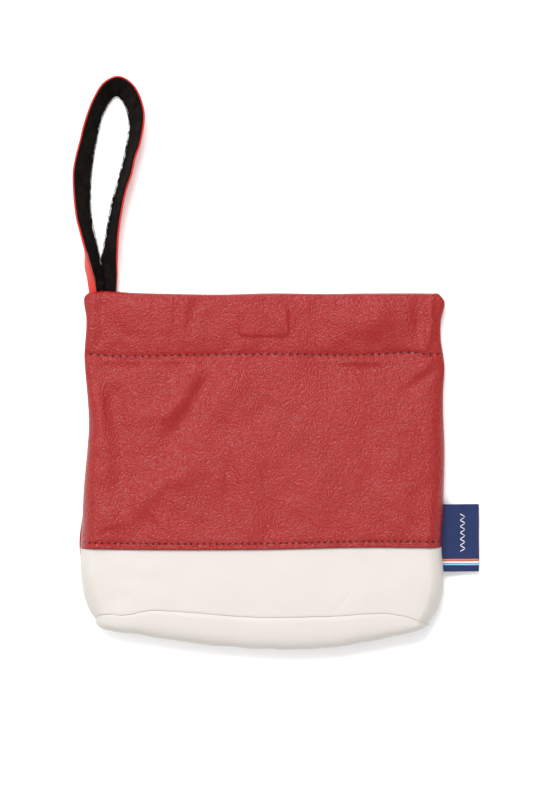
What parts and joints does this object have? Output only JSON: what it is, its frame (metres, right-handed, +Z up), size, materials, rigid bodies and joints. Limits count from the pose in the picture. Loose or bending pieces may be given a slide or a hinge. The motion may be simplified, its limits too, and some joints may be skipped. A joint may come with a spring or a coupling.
{
  "type": "leather valuables pouch",
  "caption": "Flat leather pouch for valuables with a magnet-closed hem at the mouth, a contrasting base band, a bulging base, a woven side label and a wrist loop.",
  "frame": {"origin": "middle of the resting back face, halfway between the bulge of the base and the mouth edge, on the centre line", "axes": "+X to the right seam, where the label is, +Y towards the mouth and the wrist loop, +Z up from the resting back face through the front"},
  "size_m": [0.2247, 0.3166, 0.0207],
  "materials": {
    "red_leather": "pebbled, semi-matte",
    "white_leather": "smooth, semi-matte",
    "orange_leather": "smooth, satin",
    "black_suede": "napped, matte",
    "dark_thread": "twisted thread",
    "lining_cloth": "plain weave",
    "sleeve_cloth": "felted",
    "magnet_steel": "nickel plated",
    "label_cloth": "woven twill"
  },
  "bodies": {
    "back_half": {"back_panel": "red_leather", "back_base_band": "white_leather", "back_facing": "red_leather", "back_lining": "lining_cloth", "back_hem_stitching": "dark_thread", "back_band_stitching": "dark_thread", "back_sleeve_left": "sleeve_cloth", "back_magnet_left": "magnet_steel", "back_sleeve_mid": "sleeve_cloth", "back_magnet_mid": "magnet_steel", "back_sleeve_right": "sleeve_cloth", "back_magnet_right": "magnet_steel", "base_panel": "white_leather", "base_lining": "lining_cloth", "strap_tab": "orange_leather", "label_tab": "label_cloth"},
    "front_half": {"front_sleeve_left": "sleeve_cloth", "front_magnet_left": "magnet_steel", "front_sleeve_mid": "sleeve_cloth", "front_magnet_mid": "magnet_steel", "front_sleeve_right": "sleeve_cloth", "front_magnet_right": "magnet_steel", "front_panel": "red_leather", "front_base_band": "white_leather", "front_facing": "red_leather", "front_lining": "lining_cloth", "front_hem_stitching": "dark_thread", "front_band_stitching": "dark_thread"},
    "strap": {"strap_leather": "orange_leather", "strap_suede": "black_suede"},
    "label": {"side_label": "label_cloth"}
  },
  "joints": [
    {"name": "mouth_open", "type": "hinge", "parent": "back_half", "child": "front_half", "pos_m": [0, -0.0792, 0.0207], "axis": [1, 0, 0], "range_deg": [0, 16]},
    {"name": "strap_swing", "type": "hinge", "parent": "back_half", "child": "strap", "pos_m": [-0.0895, 0.1063, 0.006], "axis": [0, 0, 1], "range_deg": [-45, 45]},
    {"name": "label_flex", "type": "hinge", "parent": "back_half", "child": "label", "pos_m": [0.101, -0.0374, 0.00475], "axis": [0, -1, 0], "range_deg": [-12, 80]}
  ]
}
